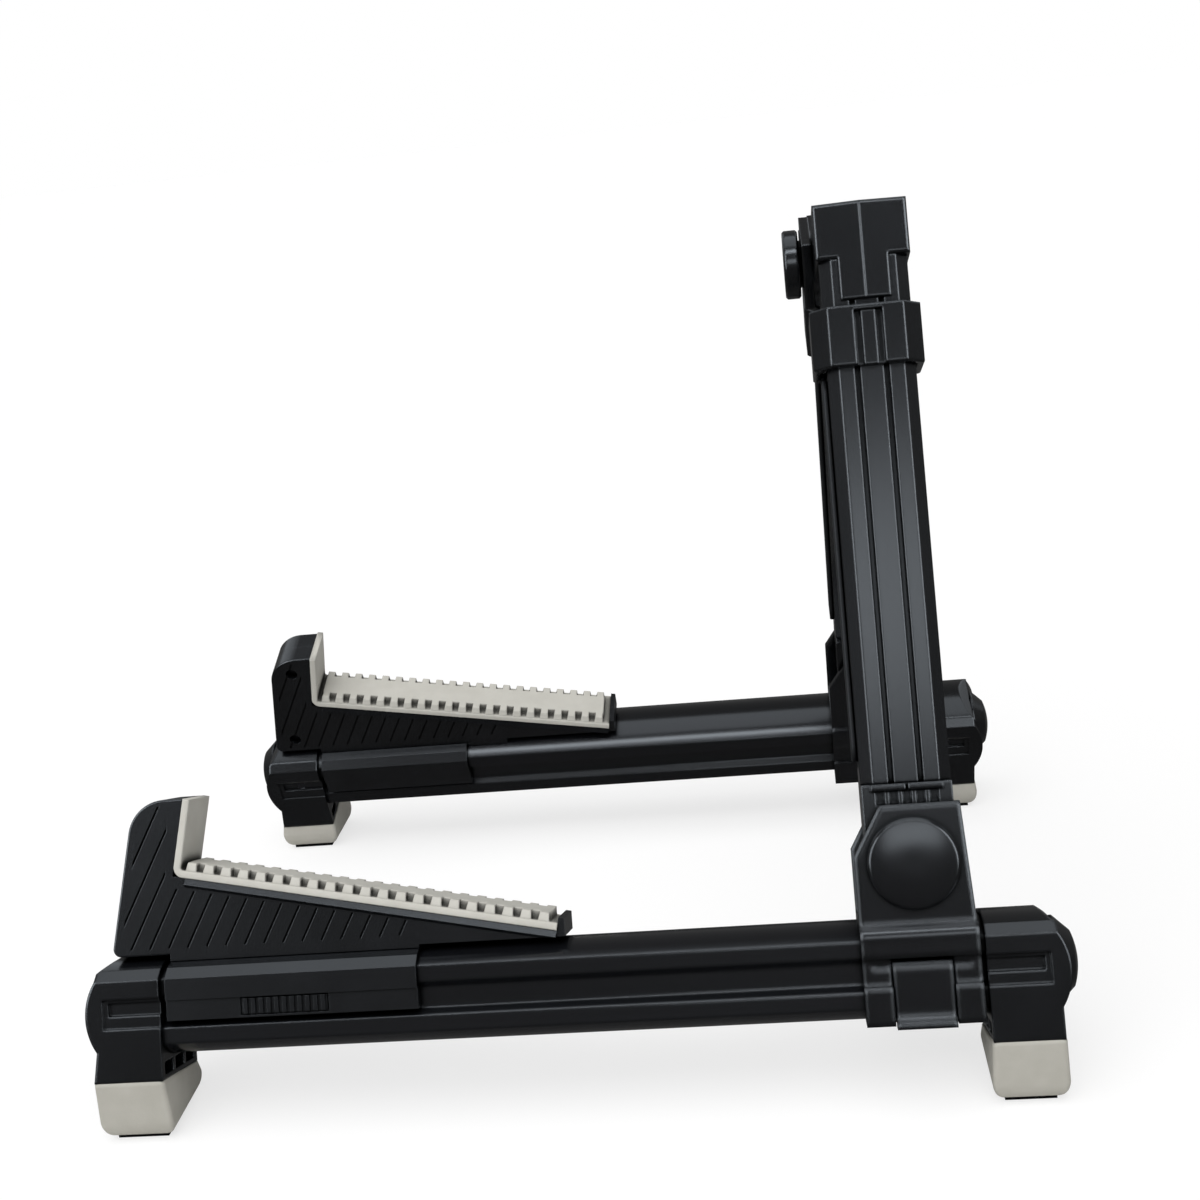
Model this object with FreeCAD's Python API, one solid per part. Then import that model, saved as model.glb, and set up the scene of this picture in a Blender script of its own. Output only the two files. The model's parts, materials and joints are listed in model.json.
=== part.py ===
import FreeCAD, Part
import math
import os
from FreeCAD import Vector

# Folding A-frame guitar stand. Two equal legs, each a flat frame of one rail, one upright and one
# cradle, lean towards each other and meet at a hinge at the top.
# Leg frame: x runs along the rail with 0 at the fold pivot and the front at minus x, y points inwards
# with 0 at the middle of the rail, z runs up the upright with 0 at the middle of the rail.
# Part frame: X runs to the rear, the left leg stands at minus Y, Z is up, floor at 0.
# Driving dimensions, in millimetres and degrees.

# Leg
LEAN = 20.0
HINGE_INSET = 22.0
HINGE_ABOVE_TUBE = 8.0
RAIL_ABOVE_FLOOR = 33.0

# Rail extrusion
RAIL_FRONT = -235.0
RAIL_REAR = 36.6
RAIL_INSET = 4.0
RAIL_HALF_WIDTH = 12.0
RAIL_HALF_HEIGHT = 13.6
RAIL_SHOULDER = 9.2
GROOVE_HALF = 4.7
GROOVE_FLOOR_HALF = 2.9
GROOVE_DEPTH = 2.4
RAIL_BORE_HALF_WIDTH = 7.2
RAIL_BORE_HALF_HEIGHT = 9.8

# End caps, plugs and feet
CAP_LENGTH = 19.2
CAP_WALL = 1.75
CROWN = 1.2
CAP_BULGE = 3.0
CAP_BULGE_LOW = -10.6
CAP_SLANT = 3.9
CAP_SLANT_HEIGHT = 3.2
FACET = 2.8
FACET_START = 9.4
POST_DEPTH = 19.3
FRONT_POST_FLARE = 1.2
POCKET_LENGTH = 17.0
POCKET_HALF_HEIGHT = 4.2
POCKET_DEPTH = 0.6
POCKET_CORE_DEPTH = 1.5
POCKET_CORE_LOW = -0.6
POCKET_CORE_HIGH = 3.2
POCKET_CORE_INSET = 1.6
POST_HOLLOW_DEPTH = 15.0
POST_HOLLOW_HEIGHT = 3.7
POST_WALL = 1.3
POST_RIB = 1.3
POST_BAYS = 3
CAP_SCREW_RADIUS = 1.5
CAP_SCREW_LENGTH = 4.0
PLUG_RADIUS = 12.0
PLUG_FACE_RADIUS = 7.8
PLUG_LENGTH = 6.5
PLUG_EDGE = 0.6
PLUG_DOME = 1.5
PLUG_SPIGOT = 12.0
SHOE_PROUD = 0.3
SHOE_BULGE = 0.5
SHOE_TUCK = 2.6
SHOE_ROUND = 5.5
FLOOR_PAD = 1.4
FLOOR_PAD_INSET = 0.3

# Cradle and its slider
SLIDER_GAP = 2.0
SLIDER_LENGTH = 73.6
SLIDER_WALL = 1.75
SLIDER_SKIRT = -2.6
SKIRT_STEP = 0.7
SKIRT_STEP_TOP = 3.3
INNER_SLEEVE_SHORT = 16.0
SLIDE_CLEARANCE = 0.3
PAD_SLOPE = 11.0
PAD_BACK = 4.5
TAIL_DEPTH = 1.66
PAD_LENGTH = 111.5
PAD_LIP = 20.5
PAD_THICK = 2.2
PAD_HALF_WIDTH = 8.6
PAD_TEETH = 21
TOOTH_FIRST = 3.0
TOOTH_PITCH = 5.22
TOOTH_HEIGHT = 2.4
TOOTH_BASE = 3.2
TOOTH_TOP = 2.5
TOOTH_DEPTH = 3.4
PAD_LEDGE = 0.7
CRADLE_HALF_WIDTH = 8.0
CRADLE_OVERHANG = 17.8
CRADLE_TOP_OVERHANG = 9.2
CRADLE_CORNER = 3.0
CRADLE_TOP_ROUND = 9.0
CRADLE_EDGE = 0.6
CRADLE_UNDERSIDE = 15.4
TAIL_GAP = 1.0
TAIL_STOP = 1.6
TAIL_STOP_HEIGHT = 1.6
FLANGE_THICK = 1.7
FLANGE_PROUD = 1.2
FLANGE_TOP_PROUD = 0.3
FLANGE_TUCK = 0.9
FLANGE_START = 4.0
HATCH_PITCH = 5.7
HATCH_ANGLE = 62.0
HATCH_WIDTH = 0.7
HATCH_DEPTH = 0.5
HATCH_BORDER = 1.9
HATCH_TOP_BORDER = 0.5
HATCH_CORNER = 2.0
CRADLE_SCREW_RADIUS = 1.4
CRADLE_SCREW_HEAD = 2.2
CRADLE_SCREW_SINK = 2.5
CRADLE_SCREW_REACH = 4.0
LIP_SCREW_BACK = 7.2
LIP_SCREW_UP = 12.3
HEEL_SCREW_X = 9.0
HEEL_SCREW_UP = 6.0
GRIP_BACK = 22.4
GRIP_LENGTH = 25.0
GRIP_BOTTOM = -1.5
GRIP_TOP = 2.8
GRIP_SINK = 0.4
GRIP_GAP = 0.5
GRIP_PROUD = 0.5
GRIP_RIBS = 11
GRIP_RIB_WIDTH = 1.14
GRIP_BASE = 0.4

# Fold bracket, pivot and latch
PIVOT_UP = 30.0
BRACKET_HALF_LENGTH = 16.0
BRACKET_WALL = 3.4
BRACKET_BOTTOM = -13.4
BRACKET_FLARE = 2.0
BRACKET_FLARE_HEIGHT = 4.3
PLATE_INNER = 11.1
PLATE_THICK = 2.5
PLATE_TOP = 16.0
PLATE_CHAMFER_X = 8.0
PLATE_CHAMFER_Z = 13.8
PLATE_TAPER = 2.2
JAW_STEP = 1.0
LATCH_FRONT = -7.9
LATCH_REAR = 8.2
LATCH_GAP = 0.3
LATCH_PIN_RADIUS = 0.8
LATCH_PIN_Y = -13.2
LATCH_STANDOFF = 0.4
LATCH_PIN_Z = 2.6
LATCH_BARREL = 1.5
LATCH_THICK = 2.5
LATCH_BOTTOM = -14.2
LATCH_LIP = 1.6
LATCH_ROOM = 2.1
LATCH_PIN_REACH = 5.0
PIN_CLEARANCE = 0.05
PIVOT_RADIUS = 4.0
DISC_RADIUS = 12.6
DISC_FACE_RADIUS = 11.8
DISC_THICK = 3.2
DISC_CHAMFER = 0.8
DISC_DOME = 0.7
DISC_FLAT_RADIUS = 2.0
PIVOT_NUT_RADIUS = 7.0
PIVOT_NUT_THICK = 2.4

# Upright
TUBE_HALF_X = 12.4
TUBE_HALF_Y = 10.8
TUBE_CHAMFER = 3.4
TUBE_BOTTOM = 51.6
TUBE_TOP = 199.0
FLUTE_CENTRE = 4.05
FLUTE_WIDTH = 1.6
FLUTE_DEPTH = 1.5
TUBE_BORE_X = 8.6
TUBE_BORE_Y = 7.0
FOOT_SPIGOT = 12.0
RIDGE_HALF = 9.8
RIDGE_HEIGHT = 1.8
RIDGE_PROUD = 1.6
RIDGE_SEAM = 0.8
FOOT_RIBS = 6
FOOT_RIB_WIDTH = 1.2
FOOT_RIB_HEIGHT = 3.9
FOOT_RIB_DEPTH = 1.0
STRIP_THICK = 1.6
STRIP_HALF_WIDTH = 5.0
STRIP_BOTTOM = 58.0
STRIP_BELOW_COLLAR = 2.2
COLLAR_BELOW_TOP = 31.0
COLLAR_HEIGHT = 17.0
COLLAR_WALL = 2.2
COLLAR_FRONT_WALL = 1.8
COLLAR_CHAMFER = 5.0
COLLAR_EDGE = 0.4
COLLAR_BROW = 1.4
COLLAR_SLOT_INNER = 2.0
COLLAR_SLOT_WIDTH = 2.0
COLLAR_SLOT_DEPTH = 1.7
COLLAR_RIB_SINK = 0.7

# Head and top hinge
HEAD_HALF_X = 13.2
HEAD_BAR_HEIGHT = 16.0
HEAD_HALF_Y = 12.0
HEAD_ROOF = 1.0
HEAD_EDGE = 0.9
STEM_EDGE = 0.5
STEM_HALF_X = 7.1
STEM_LENGTH = 12.0
HEAD_SPIGOT = 10.0
KNUCKLE_RADIUS = 9.5
KNUCKLE_HALF = 6.0
KNUCKLE_GAP = 0.3
EAR_FRONT = 16.4
RIGHT_HEAD_DROP = 7.0
CHEEK_HALF_HEIGHT = 10.5
CHEEK_BEYOND = 9.5
BOLT_RADIUS = 3.0
BOLT_HEAD_RADIUS = 5.6
BOLT_HEAD_THICK = 3.6
BOLT_HEAD_SINK = 0.4
WASHER_RADIUS = 7.0
WASHER_THICK = 0.8
KNOB_RADIUS = 10.2
KNOB_THICK = 4.6
KNOB_CHAMFER = 0.6
KNOB_SKIN = 1.0

# Lengths below this count as none
TINY = 1e-6

# Worked-out places
LEAN_SIN = math.sin(math.radians(LEAN))
LEAN_COS = math.cos(math.radians(LEAN))
HINGE_UP = TUBE_TOP + HINGE_ABOVE_TUBE
RAIL_OUT = HINGE_INSET * LEAN_COS + HINGE_UP * LEAN_SIN
X_SHIFT = -0.5 * (RAIL_FRONT - PLUG_LENGTH + RAIL_REAR + PLUG_LENGTH)
CAP_HALF_WIDTH = RAIL_HALF_WIDTH + CAP_WALL
CAP_TOP = RAIL_HALF_HEIGHT + CROWN
CAP_REAR_OF_FRONT = RAIL_FRONT + CAP_LENGTH
CAP_FRONT_OF_REAR = RAIL_REAR - CAP_LENGTH
SLIDER_FRONT = CAP_REAR_OF_FRONT + SLIDER_GAP
SLIDER_REAR = SLIDER_FRONT + SLIDER_LENGTH
SLIDER_SIDE = RAIL_HALF_WIDTH + SLIDER_WALL
PLATE_OUTER = PLATE_INNER + PLATE_THICK
HEAD_TOP = TUBE_TOP + HEAD_BAR_HEIGHT
COLLAR_BOTTOM = TUBE_TOP - COLLAR_BELOW_TOP
COLLAR_TOP = COLLAR_BOTTOM + COLLAR_HEIGHT
STRIP_FACE = TUBE_HALF_X + STRIP_THICK
PAD_ALONG = Vector(math.cos(math.radians(PAD_SLOPE)), 0, -math.sin(math.radians(PAD_SLOPE)))
PAD_UP = Vector(math.sin(math.radians(PAD_SLOPE)), 0, math.cos(math.radians(PAD_SLOPE)))
PAD_CORNER_X = SLIDER_FRONT + PAD_BACK
TAIL_Z = RAIL_HALF_HEIGHT + TAIL_GAP
PAD_CORNER_Z = TAIL_Z + TAIL_DEPTH + PAD_THICK * PAD_UP.z - PAD_LENGTH * PAD_ALONG.z
PAD_CORNER = Vector(PAD_CORNER_X, 0, PAD_CORNER_Z)
CRADLE_FRONT_BOTTOM = SLIDER_FRONT - CRADLE_OVERHANG
CRADLE_FRONT_TOP = SLIDER_FRONT - CRADLE_TOP_OVERHANG
GRIP_FRONT = SLIDER_FRONT + GRIP_BACK
EAR_REAR = HEAD_HALF_X - BOLT_HEAD_SINK - BOLT_HEAD_THICK


def at(value, place):
    """True where two lengths are the same."""
    return abs(value - place) < TINY


def outline(items, lift):
    """Closed face from (a, b) corners and (a, b, mid_a, mid_b) arcs, put in space by lift."""
    edges = []
    last = lift(*items[0][:2])
    for item in items[1:] + items[:1]:
        point = lift(*item[:2])
        if len(item) == 4:
            edges.append(Part.Arc(last, lift(*item[2:]), point).toShape())
        elif (point - last).Length > TINY:
            edges.append(Part.LineSegment(last, point).toShape())
        last = point
    return Part.Face(Part.Wire(edges))


def prism_x(items, x0, x1):
    """Outline in (y, z) drawn out along x."""
    return outline(items, lambda y, z: Vector(x0, y, z)).extrude(Vector(x1 - x0, 0, 0))


def prism_y(items, y0, y1):
    """Outline in (x, z) drawn out along y."""
    return outline(items, lambda x, z: Vector(x, y0, z)).extrude(Vector(0, y1 - y0, 0))


def prism_z(items, z0, z1):
    """Outline in (x, y) drawn out along z."""
    return outline(items, lambda x, y: Vector(x, y, z0)).extrude(Vector(0, 0, z1 - z0))


def box(x0, x1, y0, y1, z0, z1):
    return Part.makeBox(x1 - x0, y1 - y0, z1 - z0, Vector(x0, y0, z0))


def rod_x(x0, x1, y, z, radius):
    return Part.makeCylinder(radius, x1 - x0, Vector(x0, y, z), Vector(1, 0, 0))


def rod_y(y0, y1, x, z, radius):
    return Part.makeCylinder(radius, y1 - y0, Vector(x, y0, z), Vector(0, 1, 0))


def joined(shapes):
    """One solid from overlapping shapes, with its seams removed."""
    return shapes[0].multiFuse(shapes[1:]).removeSplitter()


def pad_point(along, up):
    """Point of the cradle's long section, from the pad's inner corner, as (x, z)."""
    point = PAD_CORNER + PAD_ALONG * along + PAD_UP * up
    return (point.x, point.z)


def rail_outline(grow):
    """The rail's section, or a sleeve's inner face standing off it by grow."""
    width = RAIL_HALF_WIDTH + grow
    height = RAIL_HALF_HEIGHT + grow
    floor = width - GROOVE_DEPTH
    lip = GROOVE_HALF - grow
    inner_lip = GROOVE_FLOOR_HALF - grow
    right = [(width, -RAIL_SHOULDER), (width, -lip), (floor, -inner_lip),
             (floor, inner_lip), (width, lip), (width, RAIL_SHOULDER)]
    left = [(-y, -z) for y, z in right]
    top_arc = (-width, RAIL_SHOULDER, 0, height)
    bottom_arc = (width, -RAIL_SHOULDER, 0, -height)
    return [bottom_arc] + right[1:] + [top_arc] + left[1:]


def shell_outline(wall, bottom):
    """Outer section of what wraps the rail: straight sides, a facet and a rounded top."""
    width = RAIL_HALF_WIDTH + wall
    shoulder = FACET_START + FACET
    crown = (FACET - width, shoulder, 0, CAP_TOP)
    return [(width, bottom), (width, FACET_START), (width - FACET, shoulder), crown,
            (-width, FACET_START), (-width, bottom)]


def saddle_outline():
    """Outer section of the fold bracket: straight jaws that round over towards the plates."""
    width = RAIL_HALF_WIDTH + BRACKET_WALL
    shoulder = FACET_START + BRACKET_FLARE_HEIGHT
    bow_y = width - BRACKET_FLARE * (1 - math.sqrt(0.5))
    bow_z = FACET_START + BRACKET_FLARE_HEIGHT * math.sqrt(0.5)
    crown = (BRACKET_FLARE - width, shoulder, 0, CAP_TOP)
    return [(width, BRACKET_BOTTOM), (width, FACET_START), (width - BRACKET_FLARE, shoulder, bow_y, bow_z),
            crown, (-width, FACET_START, -bow_y, bow_z), (-width, BRACKET_BOTTOM)]


def rail_bar(grow):
    """Solid bar of the rail's section and length, which also cuts what fits over the rail."""
    return prism_x(rail_outline(grow), RAIL_FRONT + RAIL_INSET, RAIL_REAR - RAIL_INSET)


def make_rail():
    bore = box(RAIL_FRONT, RAIL_REAR, -RAIL_BORE_HALF_WIDTH, RAIL_BORE_HALF_WIDTH,
               -RAIL_BORE_HALF_HEIGHT, RAIL_BORE_HALF_HEIGHT)
    holes = [cap_screw(x) for x in cap_screw_places()]
    return rail_bar(0).cut(Part.makeCompound([bore] + holes))


def cap_profile(end, open_end, inward, flare):
    """Side view of a cap in (x, z): flared post, bowed end and a slanted top corner."""
    bow_end = end - inward * CAP_BULGE
    bow_middle = 0.5 * (FACET_START + CAP_BULGE_LOW)
    above = CAP_TOP + CROWN
    slant_back = CAP_SLANT * (above - CAP_TOP + CAP_SLANT_HEIGHT) / CAP_SLANT_HEIGHT
    return [(open_end, -POST_DEPTH), (end - inward * flare, -POST_DEPTH), (end, CAP_BULGE_LOW),
            (end, FACET_START, bow_end, bow_middle), (end, CAP_TOP - CAP_SLANT_HEIGHT),
            (end + inward * slant_back, above), (open_end, above)]


def cap_pockets(open_end, inward):
    """Two-level pocket in each side of a cap, open towards the rail's middle."""
    shallow = sorted((open_end, open_end - inward * POCKET_LENGTH))
    core = sorted((open_end, open_end - inward * (POCKET_LENGTH - POCKET_CORE_INSET)))
    pockets = []
    for sign in (-1, 1):
        y = sorted((sign * CAP_HALF_WIDTH, sign * (CAP_HALF_WIDTH - POCKET_DEPTH)))
        pockets.append(box(*shallow, *y, -POCKET_HALF_HEIGHT, POCKET_HALF_HEIGHT))
        y = sorted((sign * CAP_HALF_WIDTH, sign * (CAP_HALF_WIDTH - POCKET_CORE_DEPTH)))
        pockets.append(box(*core, *y, POCKET_CORE_LOW, POCKET_CORE_HIGH))
    return pockets


def post_bays(open_end, inward):
    """Hollow bays of a cap's post, between ribs, open towards the rail's middle."""
    hollow = sorted((open_end, open_end - inward * POST_HOLLOW_DEPTH))
    bottom = -POST_DEPTH + POST_WALL
    half = CAP_HALF_WIDTH - POST_WALL - 0.5 * CAP_WALL
    bay = (2 * half - (POST_BAYS - 1) * POST_RIB) / POST_BAYS
    bays = []
    for index in range(POST_BAYS):
        y = -half + index * (bay + POST_RIB)
        bays.append(box(*hollow, y, y + bay, bottom, bottom + POST_HOLLOW_HEIGHT))
    return bays


def make_cap(end, open_end, flare):
    """End cap with its post, between its end and the side that is open to the rail's middle."""
    inward = 1 if open_end > end else -1
    reach = sorted((open_end, end - inward * (CAP_BULGE + flare)))
    body = prism_x(shell_outline(CAP_WALL, -POST_DEPTH), *reach)
    side = cap_profile(end, open_end, inward, flare)
    body = body.common(prism_y(side, -2 * CAP_HALF_WIDTH, 2 * CAP_HALF_WIDTH))
    screw = cap_screw(open_end - inward * 0.5 * POCKET_LENGTH)
    cuts = cap_pockets(open_end, inward) + post_bays(open_end, inward) + [screw]
    return body.cut(rail_bar(0)).cut(make_plug(end, -inward)).cut(Part.makeCompound(cuts))


def cap_screw_places():
    """Where the two screws of a leg sit along the rail, in the middle of the pockets."""
    return [CAP_REAR_OF_FRONT - 0.5 * POCKET_LENGTH, CAP_FRONT_OF_REAR + 0.5 * POCKET_LENGTH]


def cap_screw(x):
    """Small screw through the inner wall of a cap and its key into the rail's wall."""
    y1 = CAP_HALF_WIDTH - POCKET_CORE_DEPTH
    z = 0.5 * (POCKET_CORE_LOW + POCKET_CORE_HIGH)
    return rod_y(y1 - CAP_SCREW_LENGTH, y1, x, z, CAP_SCREW_RADIUS)


def make_plug(face, outward):
    """Round end plug: a rim, a sloped shoulder and a domed face, with a spigot in the rail's bore."""
    tip = face + outward * PLUG_LENGTH
    rim = face + outward * PLUG_EDGE
    shoulder = tip - outward * PLUG_DOME
    sphere = 0.5 * (PLUG_FACE_RADIUS ** 2 + PLUG_DOME ** 2) / PLUG_DOME
    half_turn = 0.5 * math.asin(PLUG_FACE_RADIUS / sphere)
    middle_x = tip - outward * sphere * (1 - math.cos(half_turn))
    dome_arc = (tip, 0, middle_x, sphere * math.sin(half_turn))
    profile = [(face, 0), (face, PLUG_RADIUS), (rim, PLUG_RADIUS), (shoulder, PLUG_FACE_RADIUS), dome_arc]
    face_of_revolution = outline(profile, lambda x, radius: Vector(x, 0, radius))
    dome = face_of_revolution.revolve(Vector(0, 0, 0), Vector(1, 0, 0), 360)
    reach = sorted((face, face - outward * PLUG_SPIGOT))
    spigot = box(*reach, -RAIL_BORE_HALF_WIDTH, RAIL_BORE_HALF_WIDTH,
                 -RAIL_BORE_HALF_HEIGHT, RAIL_BORE_HALF_HEIGHT)
    return joined([dome, spigot])


def to_world(y, z):
    """Leg-frame (y, z) of the left leg as part-frame (Y, Z)."""
    return (-RAIL_OUT + y * LEAN_COS + z * LEAN_SIN, RAIL_ABOVE_FLOOR - y * LEAN_SIN + z * LEAN_COS)


def shoe_tops():
    """Where the shoe's outer and inner side start at the leaning post, as part-frame (Y, Z)."""
    half = CAP_HALF_WIDTH + SHOE_PROUD
    return to_world(-half, -POST_DEPTH), to_world(half, -POST_DEPTH)


def shoe_side(top, outward):
    """Side of a shoe below its top (a, b): a slight flare, then an arc that tucks in to the sole."""
    wide = top[0] + outward * SHOE_BULGE
    slant = math.sqrt(0.5)
    middle = (wide - outward * (SHOE_TUCK + SHOE_BULGE) * (1 - slant), FLOOR_PAD + SHOE_ROUND * (1 - slant))
    return (wide, FLOOR_PAD + SHOE_ROUND), middle, (top[0] - outward * SHOE_TUCK, FLOOR_PAD)


def shoe_outline(first, second):
    """Section of a shoe between two tops (a, b), the first on the low side of a."""
    first_wide, first_middle, first_sole = shoe_side(first, -1)
    second_wide, second_middle, second_sole = shoe_side(second, 1)
    return [first, second, second_wide, second_sole + second_middle, first_sole, first_wide + first_middle]


def round_corner(corner, before, after, radius):
    """Arc that rounds a corner: its start, and its end with the middle point."""
    first = Vector(before[0] - corner[0], before[1] - corner[1], 0).normalize() * radius
    second = Vector(after[0] - corner[0], after[1] - corner[1], 0).normalize() * radius
    middle = (first + second) * (1 - math.sqrt(0.5))
    start = (corner[0] + first.x, corner[1] + first.y)
    end = (corner[0] + second.x, corner[1] + second.y,
           corner[0] + middle.x, corner[1] + middle.y)
    return start, end


def make_shoe(x0, x1):
    """Rubber shoe in the part frame: steep sides that tuck in to a level sole."""
    outer, inner = shoe_tops()
    front = (x0 - SHOE_PROUD + X_SHIFT, outer[1])
    rear = (x1 + SHOE_PROUD + X_SHIFT, outer[1])
    section = prism_x(shoe_outline(outer, inner), front[0] - SHOE_BULGE, rear[0] + SHOE_BULGE)
    ends = prism_y(shoe_outline(front, rear), outer[0] - SHOE_BULGE, inner[0] + SHOE_BULGE)
    return section.common(ends)


def make_floor_pad(x0, x1):
    """Thin pad under a shoe, in the part frame."""
    outer, inner = shoe_tops()
    inset = SHOE_TUCK + FLOOR_PAD_INSET
    return box(x0 + X_SHIFT - SHOE_PROUD + inset, x1 + X_SHIFT + SHOE_PROUD - inset,
               outer[0] + inset, inner[0] - inset, 0, FLOOR_PAD)


def cradle_outline():
    """Long section of the cradle's body in (x, z), with its seat for the pad cut out."""
    lip_top = pad_point(-PAD_THICK, PAD_LIP)
    seat_corner = pad_point(-PAD_THICK, -PAD_THICK)
    seat_end = pad_point(PAD_LENGTH, -PAD_THICK)
    stop_inner = pad_point(PAD_LENGTH, TAIL_STOP_HEIGHT)
    stop_outer = pad_point(PAD_LENGTH + TAIL_STOP, TAIL_STOP_HEIGHT)
    tail = (stop_outer[0], TAIL_Z)
    front_low = (CRADLE_FRONT_BOTTOM, CRADLE_UNDERSIDE)
    front_high = (CRADLE_FRONT_TOP, lip_top[1])
    low_start, low_end = round_corner(front_low, (SLIDER_REAR, CRADLE_UNDERSIDE), front_high, CRADLE_CORNER)
    high_start, high_end = round_corner(front_high, front_low, lip_top, CRADLE_TOP_ROUND)
    in_sleeve = CRADLE_UNDERSIDE - CAP_WALL
    front = [low_start, low_end, high_start, high_end, lip_top]
    seat = [seat_corner, seat_end, stop_inner, stop_outer, tail]
    underside = [(SLIDER_REAR, TAIL_Z), (SLIDER_REAR, in_sleeve), (SLIDER_FRONT, in_sleeve),
                 (SLIDER_FRONT, CRADLE_UNDERSIDE)]
    return front + seat + underside


def hatch_panel():
    """Part of the cradle's side that carries the hatch, in (x, z), inside a plain border."""
    border = HATCH_BORDER
    top = pad_point(-PAD_THICK, PAD_LIP)[1] - border
    under_flange = -PAD_THICK - FLANGE_THICK - FLANGE_TUCK - HATCH_TOP_BORDER
    corner = pad_point(-PAD_THICK, under_flange)
    tail_along = (SLIDER_REAR - PAD_CORNER_X) / PAD_ALONG.x
    tail_top = pad_point(tail_along, under_flange)[1]
    low = CRADLE_UNDERSIDE + border
    return [(CRADLE_FRONT_BOTTOM + border + 0.5 * HATCH_CORNER, low), (SLIDER_REAR, low),
            (SLIDER_REAR, tail_top), (corner[0] - border, corner[1]),
            (corner[0] - border + HATCH_CORNER, top), (CRADLE_FRONT_TOP + border + HATCH_CORNER, top),
            (CRADLE_FRONT_TOP + border, top - HATCH_CORNER)]


def hatch_cuts():
    """Slanted shallow grooves on both sides of the cradle's body."""
    panel = hatch_panel()
    low = panel[0][1]
    height = PAD_CORNER_Z + PAD_LIP - low
    lean = height / math.tan(math.radians(HATCH_ANGLE))
    first = CRADLE_FRONT_BOTTOM - lean
    cuts = []
    for side in (-1, 1):
        y = sorted((side * CRADLE_HALF_WIDTH, side * (CRADLE_HALF_WIDTH - HATCH_DEPTH)))
        face = prism_y(panel, *y)
        for index in range(math.ceil((SLIDER_REAR - first) / HATCH_PITCH)):
            x = first + index * HATCH_PITCH
            groove = [(x, low), (x + HATCH_WIDTH, low), (x + HATCH_WIDTH + lean, low + height),
                      (x + lean, low + height)]
            part = prism_y(groove, *y).common(face)
            if part.Volume > 0:
                cuts.append(part)
    return cuts


def cradle_screw_places():
    """Two screws that hold the two halves together, in the lip and in the heel, as (x, z)."""
    lip = pad_point(-PAD_THICK - LIP_SCREW_BACK, LIP_SCREW_UP)
    heel = (CRADLE_FRONT_BOTTOM + HEEL_SCREW_X, CRADLE_UNDERSIDE + HEEL_SCREW_UP)
    return [lip, heel]


def cradle_screw(x, z):
    """Screw from the inner side: head sunk in the inner half, shank across the seam."""
    head_y = CRADLE_HALF_WIDTH - CRADLE_SCREW_SINK
    head = rod_y(head_y - CRADLE_SCREW_SINK, head_y, x, z, CRADLE_SCREW_HEAD)
    shank = rod_y(-CRADLE_SCREW_REACH, head_y - CRADLE_SCREW_SINK, x, z, CRADLE_SCREW_RADIUS)
    return joined([head, shank])


def make_flange():
    """Sloped rim under the pad, along both sides of the cradle and clear of the rail."""
    top_half = CRADLE_HALF_WIDTH + FLANGE_TOP_PROUD
    low_half = CRADLE_HALF_WIDTH + FLANGE_PROUD
    low = -PAD_THICK - FLANGE_THICK
    section = [(-top_half, -PAD_THICK), (top_half, -PAD_THICK), (low_half, low),
               (CRADLE_HALF_WIDTH, low - FLANGE_TUCK), (-CRADLE_HALF_WIDTH, low - FLANGE_TUCK),
               (-low_half, low)]
    origin = PAD_CORNER + PAD_ALONG * (FLANGE_START - PAD_THICK)
    face = outline(section, lambda y, up: origin + PAD_UP * up + Vector(0, y, 0))
    above_rail = box(CRADLE_FRONT_BOTTOM, 0, -low_half, low_half, TAIL_Z, TAIL_Z + PAD_CORNER_Z)
    return face.extrude(PAD_ALONG * (PAD_LENGTH - FLANGE_START + PAD_THICK)).common(above_rail)


def slider_trims():
    """What is cut off the slider: the step of its skirts, the grip's seat and the inner sleeve's end."""
    step_face = SLIDER_SIDE - SKIRT_STEP
    grip_rear = GRIP_FRONT + GRIP_LENGTH
    trims = [box(GRIP_FRONT - GRIP_GAP, grip_rear + GRIP_GAP, -step_face, GRIP_SINK - step_face,
                 GRIP_BOTTOM - GRIP_GAP, GRIP_TOP + GRIP_GAP)]
    for sign in (-1, 1):
        y = sorted((sign * SLIDER_SIDE, sign * step_face))
        trims.append(box(SLIDER_FRONT, SLIDER_REAR, *y, SLIDER_SKIRT, SKIRT_STEP_TOP))
    trims.append(box(SLIDER_REAR - INNER_SLEEVE_SHORT, SLIDER_REAR, CRADLE_HALF_WIDTH, SLIDER_SIDE,
                     SLIDER_SKIRT, TAIL_Z))
    return trims


def on_cradle_rim(side):
    """True for the edges round the front and the top of the cradle's lip, on both sides."""
    front = max(corner.Point.x for corner in side.Vertexes) < CRADLE_FRONT_TOP + CRADLE_TOP_ROUND + TINY
    return front and all(at(abs(corner.Point.y), CRADLE_HALF_WIDTH) for corner in side.Vertexes)


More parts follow.
